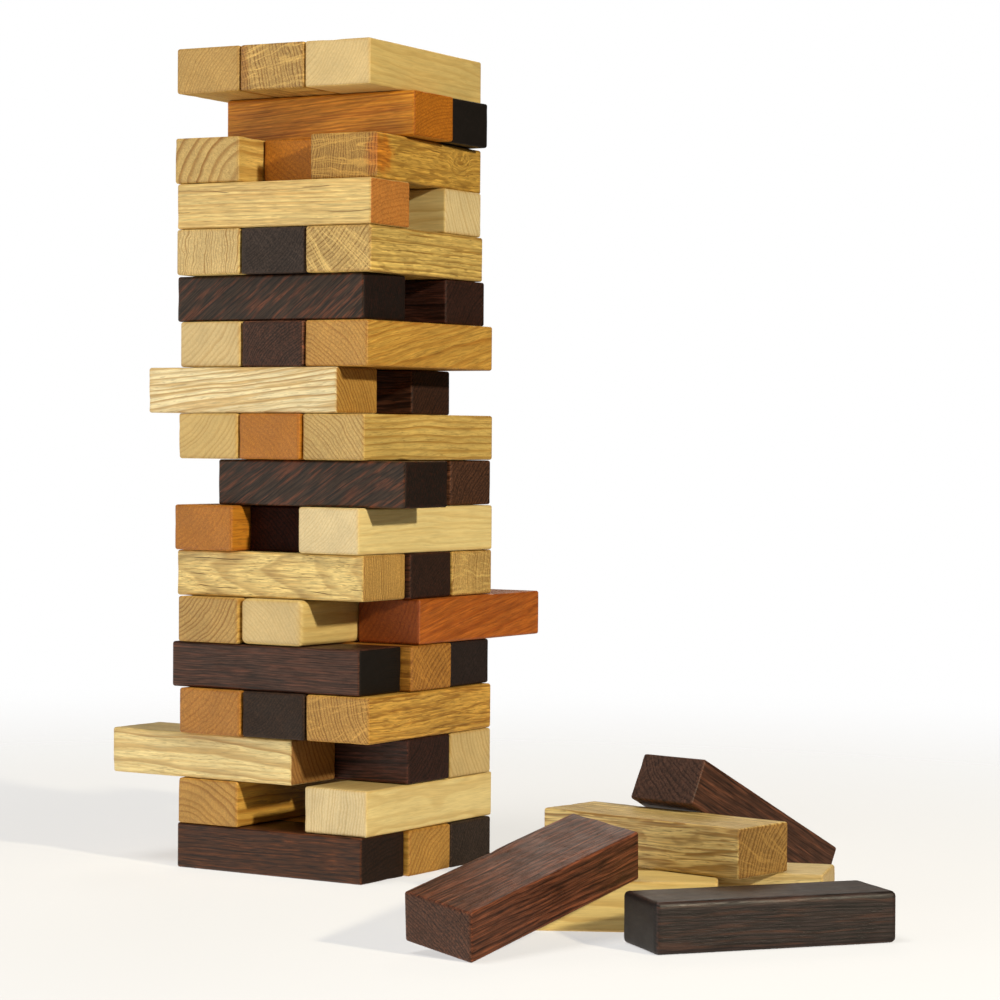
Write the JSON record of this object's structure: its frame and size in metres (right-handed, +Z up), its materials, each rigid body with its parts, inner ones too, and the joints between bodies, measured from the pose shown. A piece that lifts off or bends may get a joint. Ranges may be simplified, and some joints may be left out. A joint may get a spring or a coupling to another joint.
{
  "type": "giant tumbling tower",
  "caption": "Stack of crossed hardwood blocks in a game under way, some drawn out or missing, with loose blocks in a heap beside it.",
  "frame": {"origin": "on the ground under the tower's centre line, on the underside of the bottom level's middle block", "axes": "+Z up the tower; +X along the blocks of the bottom level, towards the heap of loose blocks; -Y is the front"},
  "size_m": [0.6995, 0.5096, 0.6531],
  "materials": {
    "oak": "planed and oiled, ring-porous straight grain with ray fleck",
    "ash": "planed and oiled, pale with broad golden-brown growth rings",
    "maple": "planed and oiled, close pale grain",
    "alder": "planed and oiled, warm orange-tan close grain",
    "cherry": "planed and oiled, orange-red with fine straight grain",
    "walnut": "planed and oiled, dark red-brown with open pores",
    "wenge": "planed and oiled, dark brown with fine paler streaks",
    "blackwood": "planed and oiled, near black"
  },
  "bodies": {
    "level_01_front": {"level_01_front": "walnut"},
    "level_01_middle": {"level_01_middle": "alder"},
    "level_01_back": {"level_01_back": "blackwood"},
    "level_02_left": {"level_02_left": "ash"},
    "level_02_right": {"level_02_right": "maple"},
    "level_03_front": {"level_03_front": "ash"},
    "level_03_middle": {"level_03_middle": "walnut"},
    "level_03_back": {"level_03_back": "maple"},
    "level_04_left": {"level_04_left": "alder"},
    "level_04_middle": {"level_04_middle": "blackwood"},
    "level_04_right": {"level_04_right": "oak"},
    "level_05_front": {"level_05_front": "wenge"},
    "level_05_middle": {"level_05_middle": "oak"},
    "level_05_back": {"level_05_back": "blackwood"},
    "level_06_left": {"level_06_left": "ash"},
    "level_06_middle": {"level_06_middle": "maple"},
    "level_06_right": {"level_06_right": "cherry"},
    "level_07_front": {"level_07_front": "oak"},
    "level_07_middle": {"level_07_middle": "wenge"},
    "level_07_back": {"level_07_back": "oak"},
    "level_08_left": {"level_08_left": "alder"},
    "level_08_middle": {"level_08_middle": "walnut"},
    "level_08_right": {"level_08_right": "maple"},
    "level_09_front": {"level_09_front": "wenge"},
    "level_09_back": {"level_09_back": "walnut"},
    "level_10_left": {"level_10_left": "maple"},
    "level_10_middle": {"level_10_middle": "alder"},
    "level_10_right": {"level_10_right": "ash"},
    "level_11_front": {"level_11_front": "ash"},
    "level_11_back": {"level_11_back": "walnut"},
    "level_12_left": {"level_12_left": "maple"},
    "level_12_middle": {"level_12_middle": "wenge"},
    "level_12_right": {"level_12_right": "alder"},
    "level_13_front": {"level_13_front": "wenge"},
    "level_13_back": {"level_13_back": "walnut"},
    "level_14_left": {"level_14_left": "ash"},
    "level_14_middle": {"level_14_middle": "blackwood"},
    "level_14_right": {"level_14_right": "oak"},
    "level_15_front": {"level_15_front": "alder"},
    "level_15_back": {"level_15_back": "maple"},
    "level_16_left": {"level_16_left": "ash"},
    "level_16_middle": {"level_16_middle": "alder"},
    "level_16_right": {"level_16_right": "oak"},
    "level_17_middle": {"level_17_middle": "cherry"},
    "level_17_back": {"level_17_back": "blackwood"},
    "level_18_left": {"level_18_left": "ash"},
    "level_18_middle": {"level_18_middle": "oak"},
    "level_18_right": {"level_18_right": "maple"},
    "loose_wenge_front": {"loose_wenge_front": "wenge"},
    "loose_maple_under": {"loose_maple_under": "maple"},
    "loose_ash_back": {"loose_ash_back": "ash"},
    "loose_oak_crosswise": {"loose_oak_crosswise": "oak"},
    "loose_walnut_propped": {"loose_walnut_propped": "walnut"},
    "loose_walnut_sloping": {"loose_walnut_sloping": "walnut"}
  },
  "joints": [
    {"name": "level_01_front_slide", "type": "slide", "parent": "level_01_middle", "child": "level_01_front", "axis": [-0.9998, 0.0175, 0], "range_m": [-0.181, 0.179]},
    {"name": "level_01_back_slide", "type": "slide", "parent": "level_01_middle", "child": "level_01_back", "axis": [-0.9998, 0.0175, 0], "range_m": [-0.177, 0.183]},
    {"name": "level_02_left_slide", "type": "slide", "parent": "level_01_middle", "child": "level_02_left", "axis": [0.0175, 0.9998, 0], "range_m": [-0.177, 0.183]},
    {"name": "level_02_right_slide", "type": "slide", "parent": "level_01_middle", "child": "level_02_right", "axis": [0.0175, 0.9998, 0], "range_m": [-0.183, 0.177]},
    {"name": "level_03_front_slide", "type": "slide", "parent": "level_01_middle", "child": "level_03_front", "axis": [-0.9997, 0.0262, 0], "range_m": [-0.247, 0.113]},
    {"name": "level_03_middle_slide", "type": "slide", "parent": "level_01_middle", "child": "level_03_middle", "axis": [-0.9997, 0.0262, 0], "range_m": [-0.178, 0.182]},
    {"name": "level_03_back_slide", "type": "slide", "parent": "level_01_middle", "child": "level_03_back", "axis": [-0.9997, 0.0262, 0], "range_m": [-0.178, 0.182]},
    {"name": "level_04_left_slide", "type": "slide", "parent": "level_01_middle", "child": "level_04_left", "axis": [0, 1, 0], "range_m": [-0.177, 0.183]},
    {"name": "level_04_middle_slide", "type": "slide", "parent": "level_01_middle", "child": "level_04_middle", "axis": [0, 1, 0], "range_m": [-0.179, 0.181]},
    {"name": "level_04_right_slide", "type": "slide", "parent": "level_01_middle", "child": "level_04_right", "axis": [0, 1, 0], "range_m": [-0.18, 0.18]},
    {"name": "level_05_front_slide", "type": "slide", "parent": "level_01_middle", "child": "level_05_front", "axis": [-1, 0, 0], "range_m": [-0.187, 0.173]},
    {"name": "level_05_middle_slide", "type": "slide", "parent": "level_01_middle", "child": "level_05_middle", "axis": [-1, 0, 0], "range_m": [-0.178, 0.182]},
    {"name": "level_05_back_slide", "type": "slide", "parent": "level_01_middle", "child": "level_05_back", "axis": [-1, 0, 0], "range_m": [-0.18, 0.18]},
    {"name": "level_06_left_slide", "type": "slide", "parent": "level_01_middle", "child": "level_06_left", "axis": [0.0175, 0.9998, 0], "range_m": [-0.176, 0.184]},
    {"name": "level_06_middle_slide", "type": "slide", "parent": "level_01_middle", "child": "level_06_middle", "axis": [0.0175, 0.9998, 0], "range_m": [-0.178, 0.182]},
    {"name": "level_06_right_slide", "type": "slide", "parent": "level_01_middle", "child": "level_06_right", "axis": [0.0175, 0.9998, 0], "range_m": [-0.254, 0.106]},
    {"name": "level_07_front_slide", "type": "slide", "parent": "level_01_middle", "child": "level_07_front", "axis": [-1, 0.0087, 0], "range_m": [-0.183, 0.177]},
    {"name": "level_07_middle_slide", "type": "slide", "parent": "level_01_middle", "child": "level_07_middle", "axis": [-1, 0.0087, 0], "range_m": [-0.179, 0.181]},
    {"name": "level_07_back_slide", "type": "slide", "parent": "level_01_middle", "child": "level_07_back", "axis": [-1, 0.0087, 0], "range_m": [-0.178, 0.182]},
    {"name": "level_08_left_slide", "type": "slide", "parent": "level_01_middle", "child": "level_08_left", "axis": [0.061, 0.9981, 0], "range_m": [-0.175, 0.185]},
    {"name": "level_08_middle_slide", "type": "slide", "parent": "level_01_middle", "child": "level_08_middle", "axis": [0.061, 0.9981, 0], "range_m": [-0.196, 0.164]},
    {"name": "level_08_right_slide", "type": "slide", "parent": "level_01_middle", "child": "level_08_right", "axis": [0.061, 0.9981, 0], "range_m": [-0.182, 0.178]},
    {"name": "level_09_front_slide", "type": "slide", "parent": "level_01_middle", "child": "level_09_front", "axis": [-0.9997, 0.0262, 0], "range_m": [-0.144, 0.216]},
    {"name": "level_09_back_slide", "type": "slide", "parent": "level_01_middle", "child": "level_09_back", "axis": [-0.9997, 0.0262, 0], "range_m": [-0.182, 0.178]},
    {"name": "level_10_left_slide", "type": "slide", "parent": "level_01_middle", "child": "level_10_left", "axis": [0.0349, 0.9994, 0], "range_m": [-0.178, 0.182]},
    {"name": "level_10_middle_slide", "type": "slide", "parent": "level_01_middle", "child": "level_10_middle", "axis": [0.0349, 0.9994, 0], "range_m": [-0.179, 0.181]},
    {"name": "level_10_right_slide", "type": "slide", "parent": "level_01_middle", "child": "level_10_right", "axis": [0.0349, 0.9994, 0], "range_m": [-0.182, 0.178]},
    {"name": "level_11_front_slide", "type": "slide", "parent": "level_01_middle", "child": "level_11_front", "axis": [-0.9998, -0.0175, 0], "range_m": [-0.206, 0.154]},
    {"name": "level_11_back_slide", "type": "slide", "parent": "level_01_middle", "child": "level_11_back", "axis": [-0.9998, -0.0175, 0], "range_m": [-0.212, 0.148]},
    {"name": "level_12_left_slide", "type": "slide", "parent": "level_01_middle", "child": "level_12_left", "axis": [0.0175, 0.9998, 0], "range_m": [-0.179, 0.181]},
    {"name": "level_12_middle_slide", "type": "slide", "parent": "level_01_middle", "child": "level_12_middle", "axis": [0.0175, 0.9998, 0], "range_m": [-0.18, 0.18]},
    {"name": "level_12_right_slide", "type": "slide", "parent": "level_01_middle", "child": "level_12_right", "axis": [0.0175, 0.9998, 0], "range_m": [-0.182, 0.178]},
    {"name": "level_13_front_slide", "type": "slide", "parent": "level_01_middle", "child": "level_13_front", "axis": [-1, 0.0087, 0], "range_m": [-0.181, 0.179]},
    {"name": "level_13_back_slide", "type": "slide", "parent": "level_01_middle", "child": "level_13_back", "axis": [-1, 0.0087, 0], "range_m": [-0.183, 0.177]},
    {"name": "level_14_left_slide", "type": "slide", "parent": "level_01_middle", "child": "level_14_left", "axis": [-0.0523, 0.9986, 0], "range_m": [-0.179, 0.181]},
    {"name": "level_14_middle_slide", "type": "slide", "parent": "level_01_middle", "child": "level_14_middle", "axis": [-0.0523, 0.9986, 0], "range_m": [-0.18, 0.18]},
    {"name": "level_14_right_slide", "type": "slide", "parent": "level_01_middle", "child": "level_14_right", "axis": [-0.0523, 0.9986, 0], "range_m": [-0.179, 0.181]},
    {"name": "level_15_front_slide", "type": "slide", "parent": "level_01_middle", "child": "level_15_front", "axis": [-0.999, -0.0436, 0], "range_m": [-0.18, 0.18]},
    {"name": "level_15_back_slide", "type": "slide", "parent": "level_01_middle", "child": "level_15_back", "axis": [-0.999, -0.0436, 0], "range_m": [-0.183, 0.177]},
    {"name": "level_16_left_slide", "type": "slide", "parent": "level_01_middle", "child": "level_16_left", "axis": [-0.0872, 0.9962, 0], "range_m": [-0.179, 0.181]},
    {"name": "level_16_middle_slide", "type": "slide", "parent": "level_01_middle", "child": "level_16_middle", "axis": [-0.0872, 0.9962, 0], "range_m": [-0.216, 0.144]},
    {"name": "level_16_right_slide", "type": "slide", "parent": "level_01_middle", "child": "level_16_right", "axis": [-0.0872, 0.9962, 0], "range_m": [-0.185, 0.175]},
    {"name": "level_17_middle_slide", "type": "slide", "parent": "level_01_middle", "child": "level_17_middle", "axis": [-1, -0.0087, 0], "range_m": [-0.18, 0.18]},
    {"name": "level_17_back_slide", "type": "slide", "parent": "level_01_middle", "child": "level_17_back", "axis": [-1, -0.0087, 0], "range_m": [-0.184, 0.176]},
    {"name": "level_18_left_lift", "type": "slide", "parent": "level_01_middle", "child": "level_18_left", "axis": [0, 0, 1], "range_m": [0, 0.15]},
    {"name": "level_18_middle_lift", "type": "slide", "parent": "level_01_middle", "child": "level_18_middle", "axis": [0, 0, 1], "range_m": [0, 0.15]},
    {"name": "level_18_right_lift", "type": "slide", "parent": "level_01_middle", "child": "level_18_right", "axis": [0, 0, 1], "range_m": [0, 0.15]},
    {"name": "loose_wenge_front_slide", "type": "slide", "parent": "level_01_middle", "child": "loose_wenge_front", "axis": [0.6293, 0.7771, 0], "range_m": [-0.025, 0.18]},
    {"name": "loose_maple_under_slide", "type": "slide", "parent": "level_01_middle", "child": "loose_maple_under", "axis": [0.891, 0.454, 0], "range_m": [-0.18, 0.01]},
    {"name": "loose_ash_back_slide", "type": "slide", "parent": "level_01_middle", "child": "loose_ash_back", "axis": [-0.9563, -0.2924, 0], "range_m": [-0.15, 0.15]},
    {"name": "loose_oak_crosswise_slide", "type": "slide", "parent": "level_01_middle", "child": "loose_oak_crosswise", "axis": [0.9848, -0.1736, 0], "range_m": [-0.14, 0.18]},
    {"name": "loose_walnut_propped_lift", "type": "slide", "parent": "level_01_middle", "child": "loose_walnut_propped", "axis": [0, 0, 1], "range_m": [0, 0.2]},
    {"name": "loose_walnut_sloping_lift", "type": "slide", "parent": "level_01_middle", "child": "loose_walnut_sloping", "axis": [0, 0, 1], "range_m": [0, 0.2]}
  ]
}
